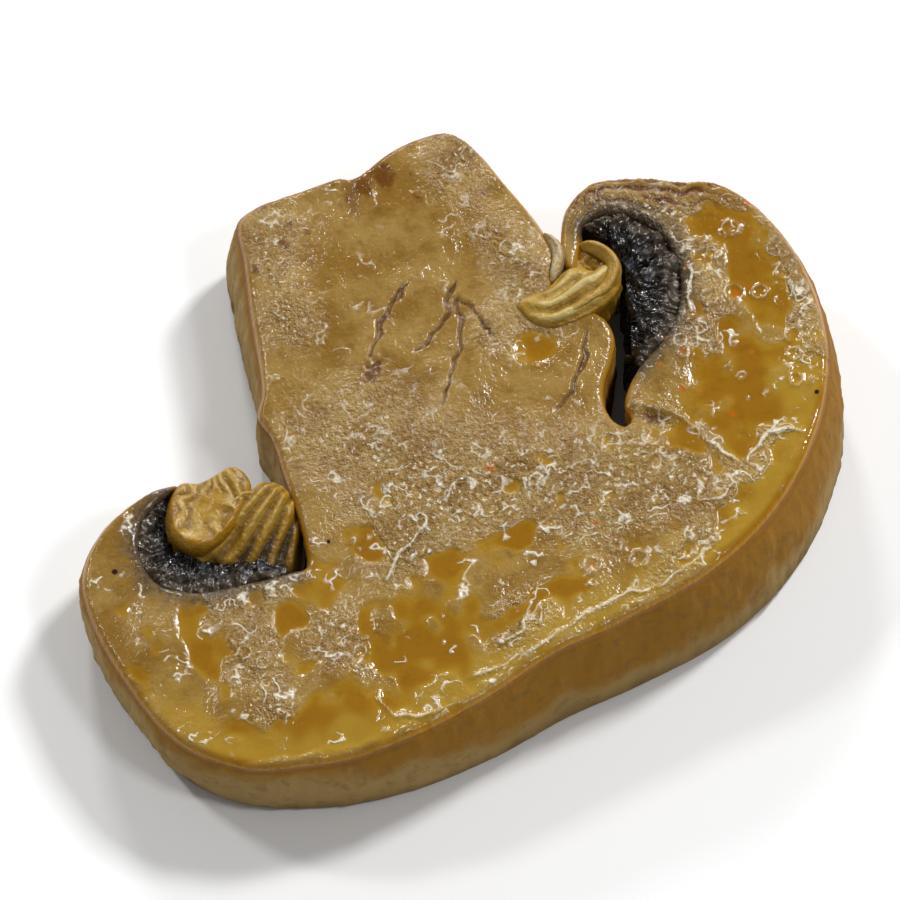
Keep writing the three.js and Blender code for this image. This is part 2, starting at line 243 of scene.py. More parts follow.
def lean_out(x, y, z):
    """Moves points outwards as the rim does: flare, tuck and stem's foot grow with depth
    below the cut face, and the bulge is greatest half way down."""
    height = np.clip(z / face_height(x, y), 0, 1)
    depth = 1 - height
    flare = RIM_FLARE * ramp(4, 17, 0.55 * x - 0.83 * y)
    tuck = RIM_TUCK * ramp(6, 20, -0.8 * x - 0.6 * y)
    stem = STEM_FLARE * ramp(3, 15, y) * ramp(3, 8, -x)
    from_y = y - RIM_CENTRE_Y
    reach = np.maximum(np.hypot(x, from_y), 1e-6)
    bulge = RIM_BULGE * 4 * height * (1 - height) * ramp(9, 17, reach)
    new_x = x + depth * (0.55 * flare + 0.8 * tuck - stem) + bulge * x / reach
    new_y = y + depth * (-0.83 * flare + 0.6 * tuck) + bulge * from_y / reach
    return new_x, new_y, z


def smooth_curve(points, steps, closed):
    """Centripetal Catmull-Rom curve through points of any dimension, steps per span: each
    span blends its four nearest points, weighted by the square roots of their distances."""
    p = np.array(points, float)
    if closed:
        p0, p1, p2, p3 = np.roll(p, 1, 0), p, np.roll(p, -1, 0), np.roll(p, -2, 0)
    else:
        p = np.vstack([2 * p[0] - p[1], p, 2 * p[-1] - p[-2]])
        p0, p1, p2, p3 = p[:-3], p[1:-2], p[2:-1], p[3:]
    k1 = np.sqrt(np.linalg.norm(p1 - p0, axis=1))
    k2 = k1 + np.sqrt(np.linalg.norm(p2 - p1, axis=1))
    k3 = k2 + np.sqrt(np.linalg.norm(p3 - p2, axis=1))
    k1, k2, k3 = (k[:, None, None] for k in (k1, k2, k3))
    t = k1 + (k2 - k1) * (np.arange(steps) / steps)[None, :, None]
    p0, p1, p2, p3 = (q[:, None, :] for q in (p0, p1, p2, p3))
    a1 = (k1 - t) / k1 * p0 + t / k1 * p1
    a2 = (k2 - t) / (k2 - k1) * p1 + (t - k1) / (k2 - k1) * p2
    a3 = (k3 - t) / (k3 - k2) * p2 + (t - k2) / (k3 - k2) * p3
    b1 = (k2 - t) / k2 * a1 + t / k2 * a2
    b2 = (k3 - t) / (k3 - k1) * a2 + (t - k1) / (k3 - k1) * a3
    curve = ((k2 - t) / (k2 - k1) * b1 + (t - k1) / (k2 - k1) * b2).reshape(-1, p.shape[1])
    return curve if closed else np.vstack([curve, p[-2]])


def even_steps(curve, count, closed):
    """The curve's points spaced evenly along its length, by linear interpolation."""
    path = np.vstack([curve, curve[:1]]) if closed else curve
    length = np.concatenate([[0], np.cumsum(np.linalg.norm(np.diff(path, axis=0), axis=1))])
    places = np.linspace(0, length[-1], count, endpoint=not closed)
    return np.column_stack([np.interp(places, length, path[:, k]) for k in range(path.shape[1])])


# The outline runs anticlockwise here, so that its inside is on the left.
OUTLINE = (
    STEM_END + STEM_RIGHT + RIGHT_POCKET + RIGHT_LOBE + CAP_TOP + LEFT_LOBE + LEFT_POCKET
    + STEM_LEFT
)
RIM = even_steps(smooth_curve(OUTLINE[::-1], 24, True), RIM_COLUMNS, True)
RIM_STEP = np.roll(RIM, -1, 0) - RIM
RIM_SLOPE = np.roll(RIM, -1, 0) - np.roll(RIM, 1, 0)
RIM_OUT = np.column_stack([RIM_SLOPE[:, 1], -RIM_SLOPE[:, 0]])
RIM_OUT /= np.linalg.norm(RIM_OUT, axis=1)[:, None]


def to_steps(gap_x, gap_y, step_x, step_y):
    """How far along straight steps the nearest point is, and its squared distance, from the
    gaps between points and the steps' starts."""
    square = step_x ** 2 + step_y ** 2
    along = np.clip((gap_x * step_x + gap_y * step_y) / square, 0, 1)
    return along, (gap_x - along * step_x) ** 2 + (gap_y - along * step_y) ** 2


def nearest_on_rim(points):
    """For each point its depth inside the outline, negative outside, and the place of the
    nearest point on it, counted in rim columns. A coarse search over every tenth column
    picks the stretch, and a fine one within it finds the nearest point."""
    corners = RIM[::COARSE_STEP]
    step = np.roll(corners, -1, 0) - corners
    px, py = points[:, 0][:, None], points[:, 1][:, None]
    stretch = np.empty(len(points), int)
    for part in np.array_split(np.arange(len(points)), len(points) // 20000 + 1):
        gap_x, gap_y = px[part] - corners[:, 0], py[part] - corners[:, 1]
        stretch[part] = to_steps(gap_x, gap_y, step[:, 0], step[:, 1])[1].argmin(1)
    reach = np.arange(-6, COARSE_STEP + 6)
    columns = (stretch[:, None] * COARSE_STEP + reach) % RIM_COLUMNS
    gap_x, gap_y = px - RIM[columns, 0], py - RIM[columns, 1]
    along, square = to_steps(gap_x, gap_y, RIM_STEP[columns, 0], RIM_STEP[columns, 1])
    row, best = np.arange(len(points)), square.argmin(1)
    column, share = columns[row, best], along[row, best]
    place = (column + share) % RIM_COLUMNS
    first, second = RIM_OUT[column], RIM_OUT[(column + 1) % RIM_COLUMNS]
    out = first + (second - first) * share[:, None]
    side = np.where(((points - on_rim(place)) * out).sum(1) > 0, -1, 1)
    return side * np.sqrt(square[row, best]), place


def on_rim(place):
    """Points of the outline at the given places, straight between its columns."""
    low = np.floor(place).astype(int) % RIM_COLUMNS
    return RIM[low] + (place - np.floor(place))[:, None] * RIM_STEP[low]


def line_distance(x, y, line):
    """Distance of points from a smooth line, and how far along it the nearest point is."""
    path = smooth_curve(line, 6, False)
    step = np.diff(path, axis=0)
    gap_x, gap_y = x.ravel()[:, None] - path[:-1, 0], y.ravel()[:, None] - path[:-1, 1]
    along, square = to_steps(gap_x, gap_y, step[:, 0], step[:, 1])
    row, best = np.arange(x.size), square.argmin(1)
    share = (best + along[row, best]) / len(step)
    return np.sqrt(square[row, best]).reshape(x.shape), share.reshape(x.shape)


def cloud(seed, fine, coarse, stretch=1.0):
    """A seeded, seamless cloud pattern of unit deviation: white noise that keeps only the
    waves between the fine and coarse lengths in millimetres. Stretch draws it out along Y."""
    noise = np.random.default_rng(seed).standard_normal((CLOUD_COUNT, CLOUD_COUNT))
    wave_x = np.fft.fftfreq(CLOUD_COUNT, CLOUD_CELL)[:, None]
    wave_y = np.fft.rfftfreq(CLOUD_COUNT, CLOUD_CELL)[None] * stretch
    wave = np.hypot(wave_x, wave_y)
    keep = np.exp(-(wave * fine) ** 4) * (1 - np.exp(-(wave * coarse) ** 4))
    field = np.fft.irfft2(np.fft.rfft2(noise) * keep, s=noise.shape)
    return field / field.std()


def sample(field, x, y):
    """Reads a cloud pattern at points in millimetres, blending its four nearest cells."""
    u, v = x / CLOUD_CELL, y / CLOUD_CELL
    i, j = np.floor(u).astype(int), np.floor(v).astype(int)
    fu, fv = u - i, v - j
    n = CLOUD_COUNT
    low = field[i % n, j % n] * (1 - fu) + field[(i + 1) % n, j % n] * fu
    high = field[i % n, (j + 1) % n] * (1 - fu) + field[(i + 1) % n, (j + 1) % n] * fu
    return low * (1 - fv) + high * fv


LUMPS = cloud(3, 3.0, 9.0)
DIMPLES = cloud(5, 1.1, 2.6)
GRAIN = cloud(8, 0.42, 1.0)
PATCHES = cloud(13, 1.6, 5.0)
SQUIGGLES = cloud(21, 0.9, 2.4)
GATES = cloud(34, 1.6, 6.0)
FIBRES = cloud(55, 0.45, 1.6, 5.0)


def nearest_spot(x, y, spots):
    """Distance of points from the nearest of a few round spots, in radii of that spot."""
    return np.min([np.hypot(x - cx, y - cy) / radius for cx, cy, radius in spots], 0)


def wet_film(x, y):
    """Where juice stands on the cut face, how rough the face is, and how far down the cap it
    is: pools are sums of hills with a wandering edge, and rough zones keep clear of them."""
    pools = sum(hill(x, y, *pool) for pool in POOLS)
    wander = 0.2 * sample(PATCHES, x, y) + 0.07 * sample(DIMPLES, x, y)
    cap = ramp(3, -9, y + 0.25 * x) + ramp(13, 19, x) * ramp(11, 2, y)
    level = pools + wander * np.minimum(0.35 + cap, 1) + 0.1 * cap
    glints = np.clip(sum(hill(x, y, *zone) for zone in GLINTS), 0, 1)
    return level, glints, cap


def cracks(x, y):
    """Relief of the cracks, and the distance from the nearest in its half widths. A crack is
    a bell-shaped furrow that narrows to its ends, between low lips."""
    lips, crack = np.zeros_like(x), np.full(x.shape, FAR)
    for line in CRACKS:
        gap, share = line_distance(x, y, line)
        taper = np.sqrt(np.clip(4 * share * (1 - share), 0.04, 1))
        crack = np.minimum(crack, gap / (CRACK_WIDTH * (0.4 + 0.6 * taper)))
        lips += CRACK_LIP * taper * bell(gap - 0.3, 0.12)
    return lips - CRACK_DEPTH * bell(crack, 1.25), crack


def threads(x, y, sway, swing):
    """Relief of the film's edges and the rings round droplets, and how strongly they show,
    which also sets the pale highlight painted along them.
    A film's edge is a bell across its line, which wanders, fades at its ends and varies in
    strength and width. A ring is a bell round a circle."""
    thread_and_highlight = np.zeros_like(x)
    vary, widen = sample(PATCHES, y, x), sample(LUMPS, y, x)
    for line in FILM_EDGES:
        gap, share = line_distance(x + sway, y + swing, line)
        strength = ramp(0, 0.05, share) * ramp(1, 0.92, share) * np.clip(1 + 0.2 * vary, 0.8, 1.2)
        thread_and_highlight = np.maximum(thread_and_highlight, bell(gap, 0.14 + 0.01 * widen) * strength)
    relief = THREAD_HEIGHT * thread_and_highlight
    share = np.clip(0.78 + 0.12 * sample(GRAIN, x, y), 0.5, 0.95)
    for cx, cy, radius in DROPLETS:
        ring = bell(np.hypot(x - cx, y - cy) - radius, 0.13)
        relief += DROPLET_HEIGHT * ring
        thread_and_highlight = np.maximum(thread_and_highlight, ring * share)
    return relief, thread_and_highlight


def cut_face(x, y, depth):
    """Height of the wet cut face and the marks of what shows on it. The even face carries
    faint lumps. Rough zones get grain and squiggled ridges, and pools of juice are level with
    a raised shore. Cracks, pit, groove and hollows are cut in, threads of juice stand up, the
    right lip is furrowed by a sine of its depth, and the edge rounds off as a quarter circle.
    Depth is how far a point is inside the outline."""
    level, glints, cap = wet_film(x, y)
    juice = ramp(0.36, 0.5, level)
    rough = glints * (1 - 0.8 * juice)
    stem = ramp(-3, 3, y) * ramp(11, 8, x)
    dimples, grain, patches = (sample(field, x, y) for field in (DIMPLES, GRAIN, PATCHES))
    gates = sample(GATES, x, y)
    gate = ramp(0.1, 1.2, gates + 1.5 * glints - 0.2 - 0.4 * juice)
    gate *= 0.35 + 0.65 * np.minimum(cap + sum(hill(x, y, *zone) for zone in STEM_GLINTS), 1)

    height = face_height(x, y) + LUMP_HEIGHT * sample(LUMPS, x, y)
    height += DIMPLE_HEIGHT * dimples * (1 - 0.8 * juice) + GRAIN_HEIGHT * grain * (0.1 + rough)
    height += FIBRE_HEIGHT * sample(FIBRES, x, y) * stem
    height += SQUIGGLE_HEIGHT * bell(sample(SQUIGGLES, x, y), 0.2) * gate
    height += SHORE_HEIGHT * (bell(level - 0.43, 0.05) * (0.3 + 0.7 * gate) - juice)

    sway, swing = LINE_WANDER * sample(DIMPLES, y, x), LINE_WANDER * dimples
    crack_relief, crack = cracks(x + sway, y + swing)
    # Threads of juice stand up, and their strength is kept to paint a pale highlight along them.
    thread_relief, thread_and_highlight = threads(x, y, sway, swing)
    pit = line_distance(x, y, PIT)[0] + 0.12 * grain
    groove = line_distance(x, y, END_GROOVE)[0]
    height += crack_relief + thread_relief
    height -= PIT_DEPTH * bell(pit, 0.34) + GROOVE_DEPTH * bell(groove, 0.35)
    for place, deep in HOLLOWS:
        height -= deep * hill(x, y, *place)
    # Brown stains, painted shade in the hollow under the film's edge, and tone that varies at random.
    stain_and_shade = sum(hill(x, y, *place) for place in STAINS_AND_SHADE) + (0.08 + 0.17 * ramp(11, 15, y)) * dimples
    stain_and_shade += ramp(0.4, 0.05, depth) * ramp(15.6, 16.8, y) * ramp(7.5, 6, x)

    lower_right = ramp(3, 9, 0.6 * x - 0.8 * y) * ramp(0.2, 0.9, gates + 0.8)
    height += RIM_WAVE_HEIGHT * bell(depth - 0.62 - 0.16 * patches, 0.16) * lower_right
    furrow = np.sin(2 * np.pi * (depth - 0.3 + 0.14 * dimples) / 0.72) * hill(x, y, *LIP_FURROWS)
    height += FURROW_HEIGHT * furrow
    lower_rim = ramp(4, 10, 0.25 * x - y)
    band = ramp(0.15, 0.7, depth) * ramp(3.4, 1.3, depth + 0.5 * patches) * lower_rim

    edge = np.clip(1 - depth / TOP_ROUND, 0, 1)
    height -= TOP_ROUND * (1 - np.sqrt(1 - edge ** 2))
    marks = {
        "juice": level, "rough": rough, "crack": crack, "pit": pit, "groove": groove,
        "furrow": furrow, "orange": nearest_spot(x, y, ORANGE_SPECKS),
        "black": nearest_spot(x, y, BLACK_SPECKS), "gate": gate, "stain_and_shade": stain_and_shade,
        "thread_and_highlight": thread_and_highlight, "band": band,
    }
    return height, marks


def clipped_grid(cell):
    """A square grid cut off along the outline. Nodes within a third of a cell of the outline
    move onto it, triangles that it crosses lose their outer part, and the rest stay whole.
    Returns the points and the triangles, and the border points' places on the rim."""
    low, high = RIM.min(0) - cell, RIM.max(0) + 2 * cell
    xs, ys = np.arange(low[0], high[0], cell), np.arange(low[1], high[1], cell)
    gx, gy = np.meshgrid(xs, ys, indexing="ij")
    nodes = np.column_stack([gx.ravel(), gy.ravel()])
    depth, place = nearest_on_rim(nodes)
    near = np.abs(depth) < cell / 3
    nodes[near] = on_rim(place[near])
    depth[near] = 0
    index = np.arange(len(nodes)).reshape(gx.shape)
    a, b, c, d = index[:-1, :-1], index[1:, :-1], index[1:, 1:], index[:-1, 1:]
    halves = [np.stack(corners, -1).reshape(-1, 3) for corners in ((a, b, c), (a, c, d))]
    triangles = np.vstack(halves)
    sign = np.sign(depth)[triangles]
    inner, outer = (sign > 0).sum(1), (sign < 0).sum(1)
    flat = (inner == 0) & (outer == 0)
    if flat.any():
        middle, _ = nearest_on_rim(nodes[triangles[flat]].mean(1))
        inner[np.flatnonzero(flat)[middle > 0]] = 3
    whole = triangles[(outer == 0) & (inner > 0)]

    def turned(chosen, side):
        """The chosen triangles, turned so that the one corner on the given side is first."""
        first = (side[chosen]).argmax(1)
        order = (first[:, None] + np.arange(3)) % 3
        return np.take_along_axis(triangles[chosen], order, 1)

    single = turned((inner == 1) & (outer > 0), sign > 0)
    double = turned((inner == 2) & (outer == 1), sign < 0)
    pairs = np.vstack([single[:, [0, 1]], single[:, [0, 2]], double[:, [0, 1]], double[:, [0, 2]]])
    key = np.sort(pairs, 1)
    edges, back = np.unique(key, axis=0, return_inverse=True)
    back = back.ravel() + len(nodes)
    share = depth[edges[:, 0]] / (depth[edges[:, 0]] - depth[edges[:, 1]] + 1e-12)
    cuts = nodes[edges[:, 0]] + share[:, None] * (nodes[edges[:, 1]] - nodes[edges[:, 0]])
    _, cut_place = nearest_on_rim(cuts)
    cuts = on_rim(cut_place)
    s, n = len(single), len(double)
    first = np.where(depth[single[:, 1]] < 0, back[:s], single[:, 1])
    second = np.where(depth[single[:, 2]] < 0, back[s:2 * s], single[:, 2])
    c1, c2 = back[2 * s:2 * s + n], back[2 * s + n:]
    parts = [
        whole,
        np.column_stack([single[:, 0], first, second]),
        np.column_stack([c1, double[:, 1], double[:, 2]]),
        np.column_stack([c1, double[:, 2], c2]),
    ]
    triangles = np.vstack(parts)
    points = np.vstack([nodes, cuts])
    place = np.concatenate([place, cut_place])
    used, triangles = np.unique(triangles, return_inverse=True)
    triangles = triangles.reshape(-1, 3)
    points, place = points[used], place[used]
    sides = np.vstack([triangles[:, [0, 1]], triangles[:, [1, 2]], triangles[:, [2, 0]]])
    code = sides[:, 0].astype(np.int64) * len(points) + sides[:, 1]
    reverse = sides[:, 1].astype(np.int64) * len(points) + sides[:, 0]
    border = np.unique(sides[~np.isin(code, reverse)][:, 0])
    border = border[np.argsort(place[border])]
    return points, triangles, border, place[border]


def zip_loops(upper, upper_place, lower, lower_place):
    """Triangles between two closed loops of vertex numbers, sorted by place: each edge of a
    loop is joined to the last vertex of the other loop that comes before the edge's end."""
    end = np.roll(upper_place, -1)
    under = (np.searchsorted(lower_place, end, "left") - 1) % len(lower)
    down = np.column_stack([np.roll(upper, -1), upper, lower[under]])
    end = np.roll(lower_place, -1)
    over = (np.searchsorted(upper_place, end, "right") - 1) % len(upper)
    up = np.column_stack([upper[over], lower, np.roll(lower, -1)])
    return np.vstack([down, up])


def new_piece(name, surface, finish, node=None):
    """A smooth mesh object from points in millimetres, their triangles and their marks, which
    become attributes. It rides on the body root, and may stand for a node."""
    points, faces, marks = surface
    mesh = bpy.data.meshes.new(name)
    place = np.array(points, float)
    place[:, :2] -= MIDDLE
    mesh.vertices.add(len(place))
    mesh.vertices.foreach_set("co", (place * MM).ravel())
    mesh.loops.add(faces.size)
    mesh.loops.foreach_set("vertex_index", faces.ravel())
    mesh.polygons.add(len(faces))
    mesh.polygons.foreach_set("loop_start", np.arange(0, faces.size, 3))
    mesh.update(calc_edges=True)
    for mark, values in marks.items():
        layer = mesh.attributes.new(mark, "FLOAT", "POINT")
        layer.data.foreach_set("value", np.asarray(values, np.float32))
    mesh.polygons.foreach_set("use_smooth", np.ones(len(mesh.polygons), bool))
    mesh.materials.append(finish)
    piece = link(name, mesh)
    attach(piece, "root")
    if node:
        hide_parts(node)


def band_faces(rows):
    """Triangles between rows of vertex numbers that close round on themselves."""
    a, b = rows[:-1], rows[1:]
    a_next, b_next = np.roll(a, -1, 1), np.roll(b, -1, 1)
    halves = [np.stack(corners, -1) for corners in ((a, a_next, b_next), (a, b_next, b))]
    return np.vstack(halves).reshape(-1, 3)


def turned_in(z):
    """How far the rim's lower edge turns in at a height: a quarter of an ellipse."""
    return UNDER_TURN * (1 - np.sqrt(1 - np.clip(1 - z / UNDER_ROUND, 0, 1) ** 2))


def underside():
    """The lower cut face: flat, with shallow dimples that are bounded by a tanh, and raised
    and drawn in at its edge. Returns points, triangles, border, places and depths."""
    flat, faces, border, border_place = clipped_grid(UNDERSIDE_CELL)
    depth, place = nearest_on_rim(flat)
    depth = np.maximum(depth, 0)
    hollow = UNDERSIDE_DIMPLE_DEPTH * (1 + np.tanh(sample(DIMPLES, flat[:, 0] + 30, flat[:, 1])))
    z = UNDER_EDGE * ramp(0.5, 0, depth) + hollow * ramp(0, 1.5, depth)
    points = np.column_stack(lean_out(flat[:, 0], flat[:, 1], z))
    inset = turned_in(UNDER_EDGE) * ramp(UNDER_ROUND, 0, depth)
    points[:, :2] -= inset[:, None] * RIM_OUT[np.floor(place).astype(int) % RIM_COLUMNS]
    return points, faces, border, border_place, depth


def rim_wall():
    """The skin in rows that run down the outline, wrinkled by stretched clouds and turned in
    at the foot. Returns points, the share of the way down and the height over the edge."""
    high = cut_face(RIM[:, 0], RIM[:, 1], np.zeros(RIM_COLUMNS))[0][None]
    share = RIM_SHARES[:, None]
    z = high + share * (UNDER_EDGE - high)
    column = np.broadcast_to(np.arange(RIM_COLUMNS) * SKIN_STEP, z.shape)
    skin = SKIN_DIMPLE_HEIGHT * sample(DIMPLES, column, z * 0.6)
    skin += SKIN_GRAIN_HEIGHT * sample(GRAIN, column, z * 0.35)
    skin += SKIN_LUMP_HEIGHT * sample(LUMPS, column, z)
    skin *= ramp(0, 0.12, share) * ramp(1, 0.88, share)
    skin -= turned_in(z)
    points = np.stack(lean_out(RIM[:, 0] + 0 * z, RIM[:, 1] + 0 * z, z), -1)
    points[..., :2] += skin[..., None] * RIM_OUT
    return points.reshape(-1, 3), (share + 0 * z).ravel(), (z - high).ravel()


def flesh_surface():
    """The whole body of the slice as one closed surface: cut face, rim and underside, zipped
    together. Marks that only the cut face has are filled up elsewhere."""
    top, top_faces, top_border, top_place = clipped_grid(FACE_CELL)
    top_depth = np.maximum(nearest_on_rim(top)[0], 0)
    top_z, marks = cut_face(top[:, 0], top[:, 1], top_depth)
    under, under_faces, under_border, under_place, under_depth = underside()
    wall, down, over = rim_wall()
    points = np.vstack([np.column_stack([top, top_z]), wall, under])
    first_under = len(top) + len(wall)
    rows = len(top) + np.arange(RIM_ROWS * RIM_COLUMNS).reshape(RIM_ROWS, RIM_COLUMNS)
    columns = np.arange(RIM_COLUMNS, dtype=float)
    faces = np.vstack([
        top_faces,
        zip_loops(top_border, top_place, rows[0], columns),
        band_faces(rows[:, ::-1]),
        zip_loops(rows[-1], columns, under_border + first_under, under_place),
        under_faces[:, ::-1] + first_under,
    ])
    for name, values in marks.items():
        away = FAR if name in ("crack", "pit", "groove", "orange", "black") else 0.0
        marks[name] = np.concatenate([values, np.full(len(wall) + len(under), away)])
    marks["depth"] = np.concatenate([top_depth, over - 0.01, under_depth])
    marks["wall"] = np.concatenate([0 * top_z, down, 0 * under_depth + 1])
    x, y = points[:, 0], points[:, 1]
    marks["glaze"] = ramp(-9, 5, x - 0.3 * y)
    gaps = [line_distance(x, y, line)[0] for line in (LEFT_POCKET, RIGHT_POCKET)]
    marks["pocket"] = np.minimum(*gaps)
    return points, faces, marks


def outward(points, faces):
    """The faces, turned over if the closed surface that they make is inside out."""
    a, b, c = (points[faces[:, k]] for k in range(3))
    volume = np.einsum("ij,ij->", a, np.cross(b, c))
    return faces if volume > 0 else faces[:, ::-1]


def closed_tube(x, y, z):
    """A tube from arrays of rings by points around, leant out as the rim is and closed at
    each end by a fan on the middle of its last ring. Returns points and triangles."""
    rings = np.stack(lean_out(x, y, z), -1)
    count, around = rings.shape[:2]
    points = np.vstack([rings.reshape(-1, 3), rings[[0, -1]].mean(1)])
    grid = np.arange(count * around).reshape(count, around)
    fans = []
    for ring, pole, flip in ((grid[0], count * around, 1), (grid[-1], count * around + 1, -1)):
        fan = np.column_stack([np.full(around, pole), np.roll(ring, -1), ring])
        fans.append(fan[:, ::flip])
    return points, outward(points, np.vstack([band_faces(grid), *fans]))


def merged(parts):
    """Several closed surfaces as one. Each is points, triangles and marks of the same names."""
    starts = np.cumsum([0] + [len(points) for points, _, _ in parts[:-1]])
    points = np.vstack([points for points, _, _ in parts])
    faces = np.vstack([faces + start for (_, faces, _), start in zip(parts, starts)])
    names = parts[0][2]
    return points, faces, {n: np.concatenate([marks[n] for _, _, marks in parts]) for n in names}


# Gills: how many stand in each pocket, and their lengths from the wall along it.
RIGHT_GILLS = 17
LEFT_GILLS = 14
RIGHT_GILL_LENGTHS = [1.5, 2.3, 3.1, 3.6, 3.6, 3.5, 3.2, 2.8, 2.2, 1.5]
LEFT_GILL_LENGTHS = [1.4, 2.0, 2.7, 3.2, 3.4, 3.2, 2.6, 2.2, 1.8, 1.5]
# A plate's thickness, the height of its foot, and how far its top is below the cut face.
GILL_THICKNESS = 0.42
GILL_FOOT = 0.45
GILL_DROP = 0.2
# Fineness of the gills: steps along a pocket's wall, the levels of a plate's loops and the
# points of a loop, and the bed's points up and down its sides and across its top.
WALL_STEPS = 400
LOOP_LEVELS = np.array([0, 0.02, 0.1, 0.25, 0.4, 0.55, 0.68, 0.8, 0.89, 0.95, 0.985, 1.0])
LOOP_POINTS = 36
BED_SIDE = 8
BED_TOP = 40


def pocket_wall(line):
    """A pocket's wall as evenly spaced points, its directions, and those into the pocket."""
    wall = even_steps(smooth_curve(line, 16, False), WALL_STEPS, False)
    slope = np.gradient(wall, axis=0)
    slope /= np.linalg.norm(slope, axis=1)[:, None]
    return wall, slope, np.column_stack([-slope[:, 1], slope[:, 0]])


def gill_plates(line, lengths, count, seed):
    """Thin wavy plates that stand on a pocket's wall. Each is a stack of flat loops: a loop
    runs out along one side and back along the other, and is bent sideways by two waves."""
    rng = np.random.default_rng(seed)
    wall, slope, inward_along = pocket_wall(line)
    turn = np.linspace(0, 2 * np.pi, LOOP_POINTS, endpoint=False)
    out = 0.5 - 0.5 * np.cos(turn)
    side = np.sin(turn) * (1 - 0.55 * out)
    h = LOOP_LEVELS[:, None]
    s = out[None] + 0 * h
    plates = []
    for k in range(count):
        along = (k + 0.5 + 0.5 * (rng.random() - 0.5)) / count
        row = along * (WALL_STEPS - 1)
        foot = np.array([np.interp(row, np.arange(WALL_STEPS), wall[:, i]) for i in (0, 1)])
        tangent, inward = slope[int(row)], inward_along[int(row)]
        length = np.interp(along * (len(lengths) - 1), np.arange(len(lengths)), lengths)
        length *= 0.8 + 0.24 * rng.random()
        lean = 0.5 * (rng.random() - 0.5)
        phase = 2 * np.pi * rng.random(3)
        top = face_height(*foot) - GILL_DROP - 0.35 * rng.random()
        reach = length * s * (0.75 + 0.25 * ramp(0, 0.3, h) * ramp(1.25, 0.8, h))
        thick = GILL_THICKNESS * (0.7 + 0.8 * rng.random()) * ramp(1.02, 0.93, h) ** 0.5
        bend = 0.22 * np.sin(1.9 * reach + phase[0] + 1.4 * h) * s + lean * s * reach * 0.5
        bend += 0.09 * np.sin(5.3 * reach + phase[1] + 5 * h) * s
        across = side[None] * thick * 0.5 + bend
        droop = 0.75 * s ** 2 + 0.16 * np.sin(4.1 * reach + phase[2]) * s
        z = GILL_FOOT + h * (top - droop - GILL_FOOT)
        x = foot[0] + inward[0] * (0.03 + reach) + tangent[0] * across
        y = foot[1] + inward[1] * (0.03 + reach) + tangent[1] * across
        root = 1 - np.concatenate([s.ravel(), s[[0, -1]].mean(1)])
        plates.append((*closed_tube(x, y, z), {"root": root}))
    return merged(plates)


def gill_bed(line, lengths, seed):
    """The wet, collapsed mass between the plates: a closed band along the wall. Its section
    goes up the wall, out over the top and down again, and its top sags outwards and carries
    bent ridges, lumps and round pits."""
    wall, _, inward = pocket_wall(line)
    u = np.linspace(0, 1, WALL_STEPS)[:, None]
    lift = np.concatenate([
        np.linspace(0.1, 1, BED_SIDE), np.ones(BED_TOP), np.linspace(0.95, 0.05, BED_SIDE),
    ])[None]
    s = np.concatenate([
        np.zeros(BED_SIDE), np.linspace(0.01, 1, BED_TOP), np.ones(BED_SIDE),
    ])[None]
    length = np.interp(u * (len(lengths) - 1), np.arange(len(lengths)), lengths)
    ends = np.sqrt(np.clip(1 - (2 * u - 1) ** 10, 0.01, 1))
    reach = length * 0.94 * s * ends
    fx, fy = wall[:, :1], wall[:, 1:]
    x = fx + inward[:, :1] * (0.02 + reach)
    y = fy + inward[:, 1:] * (0.02 + reach)
    ridge = np.sin(2 * np.pi * (26 * u + 0.9 * s + 0.35 * sample(DIMPLES, x + seed, y)))
    top = face_height(fx, fy) - GILL_DROP - 0.1 - 0.8 * s ** 2 - 0.1 * ramp(0.1, 0, s)
    top = top + 0.07 * ridge + 0.15 * sample(DIMPLES, x - seed, y) + 0.06 * sample(GRAIN, x, y)
    root = np.concatenate([(1 - s + 0 * u).ravel(), [1, 1]])
    return *closed_tube(x, y, GILL_FOOT + lift * (top - GILL_FOOT)), {"root": root}


def wet_gills(line, lengths, count, seed):
    """The plates of a pocket and the mass between them, as one mesh."""
    return merged([gill_plates(line, lengths, count, seed), gill_bed(line, lengths, seed)])


def lump(outline, centre, shape, foot, under):
    """A closed lump over an outline that its centre sees whole. Rings spread from the centre
    over the top to the outline, go down its side and shrink to the centre below. Shape gives
    the top's height over the cut face, how folded and how golden it is, from x, y and the
    share of the way out. The side is pleated and draws in towards the foot, at its lowest by
    the share under."""
    edge = even_steps(smooth_curve(outline, 12, True), LUMP_COLUMNS, True)
    over, beside, below = LUMP_ROWS
    out = np.concatenate([
        np.linspace(0.02, 1, over), np.ones(beside), np.linspace(0.93, 0.05, below),
    ])[:, None]
    down = np.concatenate([np.zeros(over), np.linspace(0.1, 0.98, beside), np.ones(below)])[:, None]
    x = centre[0] + out * (edge[:, 0] - centre[0])
    y = centre[1] + out * (edge[:, 1] - centre[1])
    raised, fold, gold = shape(x, y, out)
    top = face_height(x, y) + raised
    around = np.arange(LUMP_COLUMNS)[None] * 0.12
    pleats = 0.022 * sample(DIMPLES, around * 1.6, 1.4 * down) + 0.02 * np.sin(7 * down + around)
    waist = ramp(0, 0.4, down) * (0.06 + pleats) + under * ramp(0.6, 1, down)
    x = x - waist * (x - centre[0])
    y = y - waist * (y - centre[1])
    z = top + down * (foot - top)
    marks = {}
    # The fold mark paints light on crests and shade in creases.
    for name, values in (("fold", fold), ("gold", gold), ("pale", 0.0)):
        values = values + 0 * z
        marks[name] = np.concatenate([values.ravel(), values[[0, -1]].mean(1)])
    return *closed_tube(x, y, z), marks


# Fineness of the veil's lumps: columns round them, and rows over, beside and below.
LUMP_COLUMNS = 200
LUMP_ROWS = (64, 7, 8)

